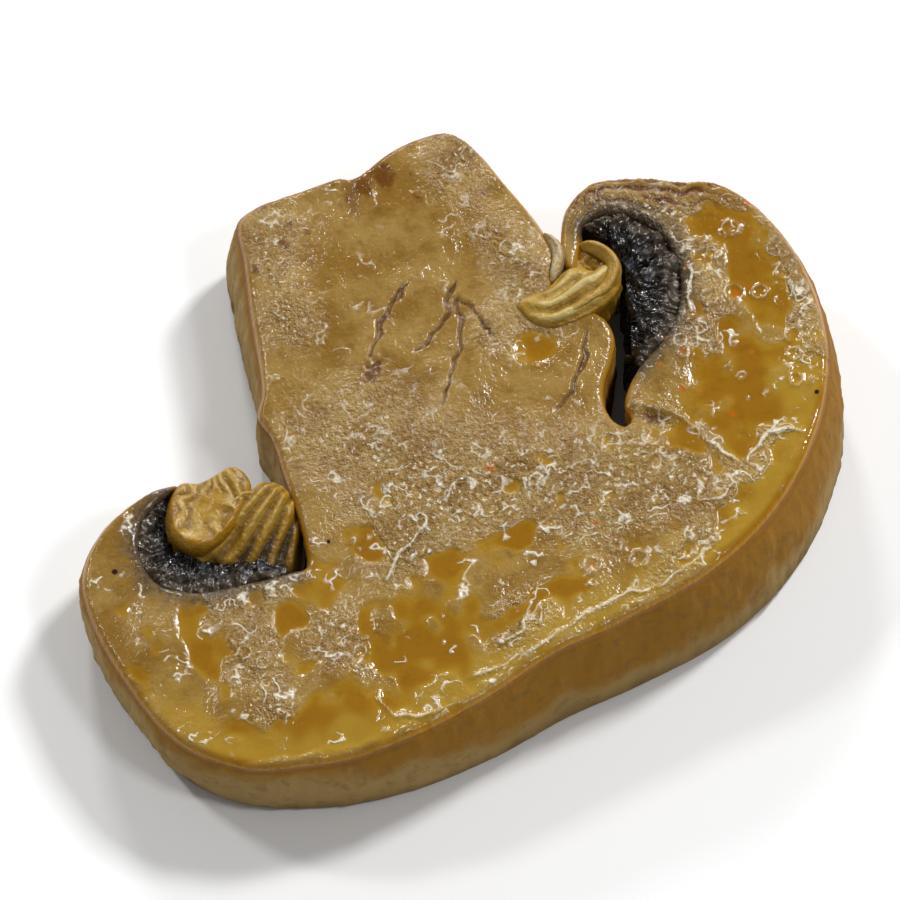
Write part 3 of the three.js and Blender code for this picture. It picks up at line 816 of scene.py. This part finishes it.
# The right veil: the leaf that lies over the stem, the hook that it hangs from, the hollow
# inside the hook, and the ring's thin remnant on the stem's edge. Hook and remnant have rows
# of x, y, height over the cut face, half width and half height. A foot is the height over the
# table where a lump ends, and dome and fold are heights on the cut face.
RIGHT_FOOT = 4.9
LEAF_DOME = 0.62
LEAF_FOLD = 0.17
LEAF = [
    (12.9, 6.8), (12.8, 5.8), (12.1, 4.9), (10.9, 4.3), (9.5, 3.95), (8.2, 3.95), (7.2, 4.4),
    (6.6, 5.2), (6.3, 6.1), (7.2, 6.4), (8.2, 6.5), (9.2, 7.1), (10.0, 7.5), (10.7, 7.4),
    (11.4, 6.9), (12.2, 7.1),
]
LEAF_CENTRE = (9.8, 5.6)
LEAF_FOLDS = [
    [(12.1, 6.6), (11.3, 6.2), (10.2, 6.0), (9.2, 5.6), (8.0, 5.4), (7.3, 5.7)],
    [(12.8, 6.2), (11.6, 5.2), (10.3, 4.8), (9.2, 4.55), (8.0, 4.5), (7.3, 4.8)],
    [(10.3, 7.2), (9.6, 6.6), (8.8, 6.2), (7.9, 6.0)],
]
HOOK = [
    (11.0, 9.0, -0.9, 0.45, 0.8), (11.5, 8.8, -0.3, 0.42, 0.75), (12.1, 8.2, 0.0, 0.42, 0.75),
    (12.55, 7.4, 0.15, 0.42, 0.75), (12.65, 6.6, 0.2, 0.42, 0.7), (12.25, 5.85, 0.22, 0.4, 0.6),
    (11.5, 5.25, 0.26, 0.34, 0.5), (10.3, 4.85, 0.3, 0.28, 0.42), (9.2, 4.55, 0.32, 0.2, 0.32),
    (8.3, 4.5, 0.34, 0.12, 0.2),
]
HOLLOW = [
    (11.0, 9.1), (11.8, 8.5), (12.5, 7.4), (12.4, 6.6), (11.5, 6.3), (10.6, 6.8), (10.1, 7.6),
    (10.4, 8.4),
]
HOLLOW_CENTRE = (11.4, 7.6)
RING_REMNANT = [
    (9.35, 10.4, -0.5, 0.2, 0.6), (9.75, 9.4, -0.2, 0.34, 0.6), (9.75, 8.6, -0.15, 0.38, 0.6),
    (9.35, 7.8, -0.15, 0.34, 0.55), (8.8, 7.0, -0.2, 0.25, 0.4),
]


def leaf_shape(x, y, out):
    """The leaf's top: domed, with three rounded folds along it and furrows between them."""
    fold = np.zeros_like(x)
    for line, strength in zip(LEAF_FOLDS, (1.0, 0.8, 0.7)):
        gap, share = line_distance(x, y, line)
        taper = np.sqrt(np.clip(4 * share * (1 - share), 0.1, 1))
        fold += strength * (bell(gap, 0.26) - 0.8 * bell(gap - 0.5, 0.2)) * taper
    fold += 0.12 * sample(DIMPLES, x, y)
    over = LEAF_DOME * np.sqrt(np.clip(1 - out ** 5, 0, 1)) - 0.1
    over = over + LEAF_FOLD * fold * ramp(1, 0.86, out)
    # The fold value paints the leaf's ridges lighter and its furrows darker: painted light and shade.
    return over, fold + 0.35, 0.5 * ramp(0.8, 1, out)


def hollow_shape(x, y, out):
    """The floor inside the hook: a dish that rises to its edge."""
    # Its fold value of -0.3 paints the floor darker: painted shade inside the hook.
    return -0.45 + 0.25 * out ** 2 + 0.05 * sample(GRAIN, x, y), -0.3, 0.7


def strand(rows, pale):
    """A rounded, lightly folded strand along rows of x, y, height over the cut face and half
    sizes. Its ends round off, and pale says how whitish it is."""
    rows = even_steps(smooth_curve(rows, 12, False), 90, False)
    tangent = np.gradient(rows[:, :2], axis=0)
    tangent /= np.linalg.norm(tangent, axis=1)[:, None]
    turn = np.linspace(0, 2 * np.pi, 48, endpoint=False)[None]
    t = np.linspace(0, 1, len(rows))[:, None]
    round_off = np.sqrt(np.clip(1 - (2 * t - 1) ** 6, 0.003, 1))
    folds = 0.07 * np.cos(4 * turn + 3.2 * t) + 0.02 * np.sin(31 * t + 3 * np.sin(turn))
    across = np.cos(turn) * (1 + folds) * round_off * rows[:, 3:4]
    upward = np.sin(turn) * (1 + folds) * round_off * rows[:, 4:5]
    x = rows[:, 0:1] - tangent[:, 1:2] * across
    y = rows[:, 1:2] + tangent[:, 0:1] * across
    base = face_height(rows[:, 0:1], rows[:, 1:2]) + rows[:, 2:3]
    # The folds paint lighter on their bulges and darker in their dips: painted light and shade.
    fold = np.concatenate([(folds * 4).ravel(), [0, 0]])
    marks = {"fold": fold + 0.2, "gold": 0 * fold + 0.25, "pale": 0 * fold + pale}
    return *closed_tube(x, y, base + upward), marks


def right_veil():
    """The torn veil at the right pocket: leaf, hook, hollow and the ring's remnant."""
    return merged([
        lump(LEAF, LEAF_CENTRE, leaf_shape, RIGHT_FOOT, 0), strand(HOOK, 0),
        lump(HOLLOW, HOLLOW_CENTRE, hollow_shape, RIGHT_FOOT, 0), strand(RING_REMNANT, 1),
    ])


# The left veil: its broad left lobe with the rolled rim, and the pleated lobe beside it, with
# the points that the first one's ribs and the other's pleats spread from.
FLAP_FOOT = 3.4
FLAP_DOME = 0.62
FLAP_ROLL = 0.22
FLAP_FAN = (-13.8, 2.4)
PLEATED_FOOT = 0.55
PLEAT_HEIGHT = 0.13
LEFT_FLAP = [
    (-16.2, 0.95), (-17.0, 0.2), (-17.55, -0.9), (-17.75, -2.0), (-17.45, -2.9), (-16.8, -3.6),
    (-15.9, -3.85), (-14.9, -3.5), (-13.9, -2.8), (-13.2, -2.0), (-12.6, -1.2), (-12.2, -0.5),
    (-12.4, 0.3), (-13.0, 0.9), (-13.9, 0.8), (-15.1, 0.6),
]
LEFT_FLAP_CENTRE = (-14.9, -1.2)
PLEATED_LOBE = [
    (-16.7, -2.9), (-16.0, -4.1), (-14.7, -5.0), (-13.4, -5.5), (-12.0, -6.1), (-10.75, -6.1),
    (-10.25, -5.1), (-10.05, -3.6), (-10.15, -1.9), (-10.45, -1.1), (-11.1, -0.6),
    (-11.7, -0.55), (-12.2, -0.8), (-13.6, -0.6), (-15.4, -1.2), (-16.5, -1.9),
]
PLEATED_CENTRE = (-12.9, -2.9)
PLEAT_FAN = (-7.1, 1.45)
PLEAT_ANGLE = 0.125


def flap_shape(x, y, out):
    """The left lobe's top: a shallow dish with faint ribs that spread from its inner end and
    a thick rolled rim along its lower left side."""
    from_x, from_y = x - LEFT_FLAP_CENTRE[0], y - LEFT_FLAP_CENTRE[1]
    lower_left = ramp(-1.0, 1.6, -0.55 * from_x - 0.8 * from_y + 0.6)
    over = FLAP_DOME * np.sqrt(np.clip(1 - out ** 7, 0, 1)) - 0.25
    rim = bell(out - 0.86, 0.1) * lower_left
    angle = np.arctan2(y - FLAP_FAN[1], x - FLAP_FAN[0])
    rib = np.sin(angle * 27 + 1.1 * sample(DIMPLES, x, y)) * ramp(0.2, 0.5, out) * ramp(1, 0.8, out)
    over = over + FLAP_ROLL * rim + 0.05 * rib - 0.1 * (1 - out ** 2) * lower_left
    over = over + 0.015 * sample(DIMPLES, x * 1.4, y * 1.4) * ramp(1, 0.9, out)
    over = over + 0.25 * hill(x, y, -12.9, 0.3, 0.8, 0.9)
    # Painted light and shade: ribs lighter and darker, and darker at the outer edge.
    fold = 0.8 * rib + 0.1 * sample(DIMPLES, x, y) - 0.1 - 0.5 * ramp(0.9, 1, out)
    return over, fold, rim + ramp(0.93, 1, out) + 0.3


def pleated_shape(x, y, out):
    """The pleated lobe's top: it slopes down away from its upper end, with pleats that fan
    out from a point beyond the stem's edge."""
    away = np.hypot(x - PLEAT_FAN[0], y - PLEAT_FAN[1])
    angle = np.arctan2(PLEAT_FAN[1] - y, PLEAT_FAN[0] - x)
    pleat = np.sin(2 * np.pi * angle / PLEAT_ANGLE + 0.3 * sample(LUMPS, x, y))
    pleat = pleat * ramp(3.6, 5.2, away)
    low = ramp(-0.8, -6.2, y - 0.15 * (x + 11))
    over = 0.42 - 1.75 * low ** 1.3 - 0.55 * ramp(0.8, 1, out) - 0.5 * ramp(-12.3, -14.5, x)
    over = over + PLEAT_HEIGHT * pleat + 0.012 * sample(GRAIN, x, y)
    # Painted light and shade: pleat crests lighter and hollows darker, near black where the lobe
    # slopes down into the pocket, and darker at its edge.
    fold = pleat * 0.8 - 0.15 - 1.5 * ramp(0.25, 0.9, low) - 0.5 * ramp(0.86, 1, out)
    return over, fold, 0.4


def left_veil():
    """The torn veil in the left pocket: the pleated lobe with the broad lobe over it."""
    return merged([
        lump(PLEATED_LOBE, PLEATED_CENTRE, pleated_shape, PLEATED_FOOT, 0.03),
        lump(LEFT_FLAP, LEFT_FLAP_CENTRE, flap_shape, FLAP_FOOT, 0.25),
    ])


class Signal:
    """A shader value. Arithmetic on it adds Math nodes."""

    def __init__(self, finish, socket):
        self.finish, self.socket = finish, socket

    def __add__(self, other):
        return self.finish.math("ADD", self, other)

    def __sub__(self, other):
        return self.finish.math("SUBTRACT", self, other)

    def __rsub__(self, other):
        return self.finish.math("SUBTRACT", other, self)

    def __mul__(self, other):
        return self.finish.math("MULTIPLY", self, other)

    __radd__, __rmul__ = __add__, __mul__

    def absolute(self):
        """The value without its sign."""
        return self.finish.math("ABSOLUTE", self, 0.0)

    def ramp(self, low, high, start=0.0, end=1.0):
        """Smooth rise from start at low to end at high."""
        if low > high:
            low, high, start, end = high, low, end, start
        values = {"Value": self, "From Min": low, "From Max": high, "To Min": start, "To Max": end}
        settings = {"interpolation_type": "SMOOTHSTEP"}
        return self.finish.add("ShaderNodeMapRange", settings, values)


class Finish:
    """One material's node tree round a Principled shader with the given fixed values."""

    def __init__(self, name, **fixed):
        self.material = bpy.data.materials.new(name)
        self.material.use_nodes = True
        self.tree = self.material.node_tree
        self.tree.nodes.clear()
        self.shader = self.tree.nodes.new("ShaderNodeBsdfPrincipled")
        output = self.tree.nodes.new("ShaderNodeOutputMaterial")
        self.tree.links.new(self.shader.outputs[0], output.inputs[0])
        self.set(**fixed)
        place = self.add("ShaderNodeTexCoord", output="Object")
        self.place = self.add(
            "ShaderNodeVectorMath", {"operation": "SCALE"}, {0: place, "Scale": 1 / MM},
        )

    def set(self, **values):
        """Feeds the shader's sockets, with _ for each space in their names."""
        for name, value in values.items():
            self.feed(self.shader.inputs[name.replace("_", " ")], value)

    def feed(self, socket, value):
        """Links a signal to a socket, or sets the socket's own value."""
        if isinstance(value, Signal):
            self.tree.links.new(value.socket, socket)
        else:
            socket.default_value = value

    def add(self, kind, settings=None, values=None, output=0):
        """A node of a kind, with its settings made first and then its sockets fed."""
        node = self.tree.nodes.new(kind)
        for name, value in (settings or {}).items():
            setattr(node, name, value)
        for name, value in (values or {}).items():
            self.feed(node.inputs[name], value)
        return Signal(self, node.outputs[output])

    def math(self, operation, a, b):
        """Arithmetic on two values, of which either may be a number."""
        return self.add("ShaderNodeMath", {"operation": operation}, {0: a, 1: b})

    def mark(self, name):
        """A mark that the mesh carries at its points."""
        return self.add("ShaderNodeAttribute", {"attribute_name": name}, output="Fac")

    def apart(self, distance):
        """The place in millimetres, shifted, for a pattern unlike the unshifted one."""
        shift = (distance, -2.3 * distance, 1.7 * distance)
        return self.add("ShaderNodeVectorMath", {"operation": "ADD"}, {0: self.place, 1: shift})

    def noise(self, scale, detail=2.0, place=None, rough=0.5):
        """Cloudy noise with so many cells a millimetre."""
        values = {"Vector": place or self.place, "Scale": scale, "Detail": detail, "Roughness": rough}
        return self.add("ShaderNodeTexNoise", {"noise_dimensions": "3D"}, values)

    def layers(self, colour, coats):
        """Lays coats of colour over a colour in turn, each by its share."""
        settings = {"data_type": "RGBA", "clamp_factor": True}
        for coat, share in coats:
            values = {0: share, 6: colour, 7: coat}
            colour = self.add("ShaderNodeMix", settings, values, output=2)
        return colour

    def bump(self, height, distance, strength=1.0, normal=None):
        """A normal that a height of so many metres tilts, over another normal if given."""
        values = {"Height": height, "Distance": distance, "Strength": strength}
        if normal:
            values["Normal"] = normal
        return self.add("ShaderNodeBump", None, values)


# Light that passes a little way into flesh: metres, and its reach in red, green and blue.
SOFT_FLESH = {
    "Subsurface_Weight": 0.1, "Subsurface_Scale": 0.0005, "Subsurface_Radius": (1.0, 0.7, 0.4),
}
# Heights of the shaders' fine relief in metres.
GRAIN_BUMP = 0.00034
BEAD_BUMP = 0.00007
GILL_BUMP = 0.00035
VEIL_BUMP = 0.00009


def paint(red, green, blue):
    """A colour from its screen values of 0 to 255, as linear light."""
    parts = [value / 255 for value in (red, green, blue)]
    return (*[((v + 0.055) / 1.055) ** 2.4 if v > 0.04045 else v / 12.92 for v in parts], 1.0)


def flesh_finish():
    """Cooked flesh under a film of juice: mottled tan, amber where the juice stands, grey
    round the gills, brown in cracks, and an amber skin that turns tan below the cut edge.
    Painted shade darkens the hollow under the film's edge, the skin towards its foot and the
    skin in the pockets. Fine grain and thin crooked beads of juice stand on it, so that it
    glints, and pale highlights are painted along the beads, the pools' shores, the film's
    edges and the droplets' rings, and as flecks in rough zones."""
    f = Finish("cooked_flesh", Specular_IOR_Level=0.42, **SOFT_FLESH)
    level, rough, gate, thread_and_highlight = (f.mark(name) for name in ("juice", "rough", "gate", "thread_and_highlight"))
    depth, wall, pocket = (f.mark(name) for name in ("depth", "wall", "pocket"))
    clouds, mottle = f.noise(0.28, 5.0, rough=0.6), f.noise(1.1, 4.0, rough=0.6)
    grain = f.noise(3.0, 3.0, rough=0.7)

    tan = f.layers(paint(152, 122, 62), [
        (paint(128, 94, 30), clouds.ramp(0.38, 0.64)),
        (paint(112, 79, 26), mottle.ramp(0.5, 0.72) * 0.5),
        (paint(182, 156, 102), grain.ramp(0.52, 0.7) * (rough * 0.7 + 0.2)),
        (paint(104, 76, 34), grain.ramp(0.44, 0.3) * (rough * 0.6 + 0.15)),
    ])
    amber = f.layers(paint(158, 120, 20), [
        (paint(140, 96, 0), (level + clouds - 0.5).ramp(0.35, 0.95)),
        (paint(116, 72, 0), mottle.ramp(0.5, 0.8) * 0.5),
    ])
    juice = (level + (mottle - 0.5) * 0.5).ramp(0.2, 0.68)
    band = f.mark("band") * (1.0 - rough * 0.6)
    groove = (f.mark("groove") + (grain - 0.5) * 0.6).ramp(0.7, 0.1)
    stain_and_shade = (f.mark("stain_and_shade") + (grain - 0.5) * 1.2).ramp(0.3, 0.8)
    crevice = f.mark("crack").ramp(1.5, 0.7)
    near = (pocket + (mottle - 0.5) * 2.6).ramp(2.0, 0.1)
    cut_edge = (depth + (grain - 0.5) * 0.3).ramp(0.3, 0.02) * pocket.ramp(0.6, 1.6)
    cut = f.layers(tan, [
        (amber, juice * 0.94),
        (paint(168, 136, 44), band * (0.35 + mottle * 0.6)),
        (paint(90, 48, 6), f.mark("furrow").ramp(0.08, -0.35)),
        (paint(92, 58, 26), groove * 0.5),
        # Brown stains, and painted shade in the hollow under the film's edge.
        (paint(92, 50, 2), stain_and_shade * 0.85),
        (paint(96, 58, 34), f.mark("pit").ramp(0.42, 0.22) * 0.8),
        (paint(88, 52, 0), crevice * 0.95),
        (paint(88, 74, 54), near * 0.7),
        (paint(54, 46, 40), (pocket + (grain - 0.5) * 3.2).ramp(0.9, 0.0) * 0.7),
        (paint(176, 122, 0), cut_edge * 0.8),
    ])
    amber_reach = (wall + (clouds - 0.5) * 0.8 - f.mark("glaze") * 0.5).ramp(0.0, 0.3)
    skin_edge = depth.ramp(-0.6, -0.2) * mottle.ramp(0.3, 0.55)
    skin = f.layers(paint(140, 96, 0), [
        (paint(150, 122, 68), amber_reach),
        (paint(104, 78, 34), mottle.ramp(0.5, 0.72) * 0.5),
        # Painted shade: the skin darkens towards its foot by the table, and turns near black along
        # the pockets, where the slots are deep.
        (paint(84, 58, 22), wall.ramp(0.7, 1.0) * 0.5),
        (paint(48, 38, 32), pocket.ramp(1.0, 0.2)),
        (paint(132, 84, 0), skin_edge * 0.7),
    ])

    # Painted highlights: pale lines along beads of juice, along the pools' shores, along the film's
    # edges and round droplets, and pale glint flecks in rough zones. The beads also tilt the normal.
    inner = depth.ramp(0.2, 0.5)
    broken = f.noise(0.9, 2.0, place=f.apart(7.0)).ramp(0.46, 0.54)
    bead_and_highlight = (f.noise(0.8, 1.5, rough=0.6) - 0.5).absolute().ramp(0.05, 0.0) * gate * broken * inner
    parted = f.noise(1.3, 2.0, place=f.apart(11.0)).ramp(0.44, 0.56)
    shore_highlight = (level + (grain - 0.5) * 0.1 - 0.42).absolute().ramp(0.035, 0.0) * gate * inner * parted
    painted_glint = (f.noise(3.4, 2.0, place=f.apart(3.0)) + rough * 0.05).ramp(0.64, 0.72) * rough
    film_highlight = f.noise(2.4, 2.0).ramp(0.2, 0.45) * thread_and_highlight.ramp(0.5, 1.0)
    pale = paint(232, 224, 204)
    colour = f.layers(cut, [
        (skin, depth.ramp(0.02, -0.02)),
        (paint(172, 88, 0), f.mark("orange").ramp(1.5, 0.4)),
        (paint(30, 18, 10), f.mark("black").ramp(1.2, 0.7)),
        # These four coats are painted highlights.
        (pale, bead_and_highlight * 0.8), (pale, shore_highlight * 0.7), (pale, painted_glint * 0.6), (pale, film_highlight * 0.6),
    ])
    relief = f.noise(3.8, 2.0, rough=0.6) * (rough * 0.8 + 0.16) * (1.0 - juice * 0.7)
    f.set(
        Base_Color=colour,
        Roughness=0.15 - juice * 0.06 + crevice * 0.15 + depth.ramp(0.0, -0.25) * 0.75,
        Normal=f.bump(bead_and_highlight, BEAD_BUMP, 1.0, f.bump(relief, GRAIN_BUMP)),
    )
    return f.material


def gill_finish():
    """Wet gills: near black, grey brown at the roots, with patches of painted bluish grey sheen."""
    f = Finish("wet_gills", Roughness=0.13, Specular_IOR_Level=0.75)
    mottle = f.noise(1.6, 4.0)
    root = f.mark("root") + (mottle - 0.5) * 1.2
    colour = f.layers(paint(24, 19, 17), [
        # Painted sheen: bluish grey patches that stand for the gills' wet glints.
        (paint(70, 76, 84), mottle.ramp(0.5, 0.72) * 0.85),
        (paint(84, 72, 58), root.ramp(0.45, 1.0) * 0.85),
    ])
    f.set(Base_Color=colour, Normal=f.bump(f.noise(1.7, 2.0), GILL_BUMP, 0.8))
    return f.material


def veil_finish():
    """Torn veil: yellow olive, golden at rolled rims, whitish where pale, with painted light on the
    crests of folds and painted shade in creases, brown and near black in the deepest.
    """
    f = Finish("torn_veil", Roughness=0.26, Specular_IOR_Level=0.4, **SOFT_FLESH)
    mottle, grain = f.noise(1.5, 4.0), f.noise(4.5, 3.0)
    fold = f.mark("fold") + (mottle - 0.5) * 0.6
    colour = f.layers(paint(166, 134, 56), [
        (paint(148, 112, 30), mottle.ramp(0.4, 0.68)),
        (paint(158, 112, 4), f.mark("gold") * 0.8),
        # Painted light and shade by the fold mark: lighter on crests, brown in creases, near black in
        # the deepest.
        (paint(194, 176, 116), fold.ramp(0.3, 1.0) * 0.7),
        (paint(112, 80, 20), fold.ramp(-0.15, -0.8) * 0.7),
        (paint(50, 36, 22), fold.ramp(-0.8, -1.9) * 0.9),
        (paint(180, 168, 140), f.mark("pale") * grain.ramp(0.3, 0.6) * 0.8),
    ])
    f.set(Base_Color=colour, Normal=f.bump(grain + f.noise(1.9, 2.0), VEIL_BUMP, 0.8))
    return f.material


# The camera looks down on the slice from the photograph's side. Its angles are in degrees,
# its distance in metres and its lens in millimetres.
CAMERA_AZIMUTH = -17.0
CAMERA_ELEVATION = 62.0
CAMERA_DISTANCE = 0.45
CAMERA_TARGET = (0.0, 0.0, 0.0035)
CAMERA_LENS = 300.0
CAMERA_NEAR = 0.01
# Soft square lamps: place and size in metres, and power in watts.
LAMPS = {
    "right_lamp": ((0.38, 0.20, 0.46), 0.1, 2.7),
    "left_lamp": ((-0.30, 0.38, 0.44), 0.08, 1.2),
    "back_lamp": ((0.05, 0.52, 0.28), 0.08, 1.1),
    "front_lamp": ((0.25, -0.25, 0.55), 0.1, 0.9),
}
SURROUND_STRENGTH = 0.24
TABLE_HALF = 1.5
TABLE_WHITE = 0.86


def link(name, data):
    """A new object of the scene with the given data."""
    thing = bpy.data.objects.new(name, data)
    bpy.context.scene.collection.objects.link(thing)
    return thing


def place_camera():
    """The camera, which looks at the middle of the slice."""
    azimuth, elevation = math.radians(CAMERA_AZIMUTH), math.radians(CAMERA_ELEVATION)
    back = Vector((
        math.sin(azimuth) * math.cos(elevation),
        -math.cos(azimuth) * math.cos(elevation),
        math.sin(elevation),
    ))
    data = bpy.data.cameras.new("camera")
    data.lens = CAMERA_LENS
    data.clip_start = CAMERA_NEAR
    camera = link("camera", data)
    camera.location = Vector(CAMERA_TARGET) + back * CAMERA_DISTANCE
    camera.rotation_euler = back.to_track_quat("Z", "Y").to_euler()
    bpy.context.scene.camera = camera


def studio():
    """A white table, a pale surround and soft lamps that face the slice."""
    mesh = bpy.data.meshes.new("table")
    corners = [(-1, -1), (1, -1), (1, 1), (-1, 1)]
    mesh.from_pydata([(x * TABLE_HALF, y * TABLE_HALF, 0) for x, y in corners], [], [(0, 1, 2, 3)])
    white = (TABLE_WHITE, TABLE_WHITE, TABLE_WHITE, 1)
    mesh.materials.append(Finish("white_table", Roughness=0.9, Base_Color=white).material)
    table = link("table", mesh)
    for name, (place, across, power) in LAMPS.items():
        data = bpy.data.lights.new(name, "AREA")
        data.size, data.energy = across, power
        lamp = link(name, data)
        lamp.location = place
        lamp.rotation_euler = Vector(place).to_track_quat("Z", "Y").to_euler()
    world = bpy.data.worlds.new("surround")
    world.use_nodes = True
    background = world.node_tree.nodes["Background"]
    background.inputs["Color"].default_value = (1, 1, 1, 1)
    background.inputs["Strength"].default_value = SURROUND_STRENGTH
    bpy.context.scene.world = world
    bpy.context.scene.view_settings.view_transform = "Standard"


place_camera()
flesh, gill, veil = flesh_finish(), gill_finish(), veil_finish()
left_gills = wet_gills(LEFT_POCKET, LEFT_GILL_LENGTHS, LEFT_GILLS, 7)
right_gills = wet_gills(RIGHT_POCKET, RIGHT_GILL_LENGTHS, RIGHT_GILLS, 11)
new_piece("slice_body", flesh_surface(), flesh, "flesh")
new_piece("veil_left", left_veil(), veil)
new_piece("veil_right", right_veil(), veil)
new_piece("left_gill_plates", left_gills, gill, "gills_left")
new_piece("right_gill_plates", right_gills, gill, "gills_right")
studio()
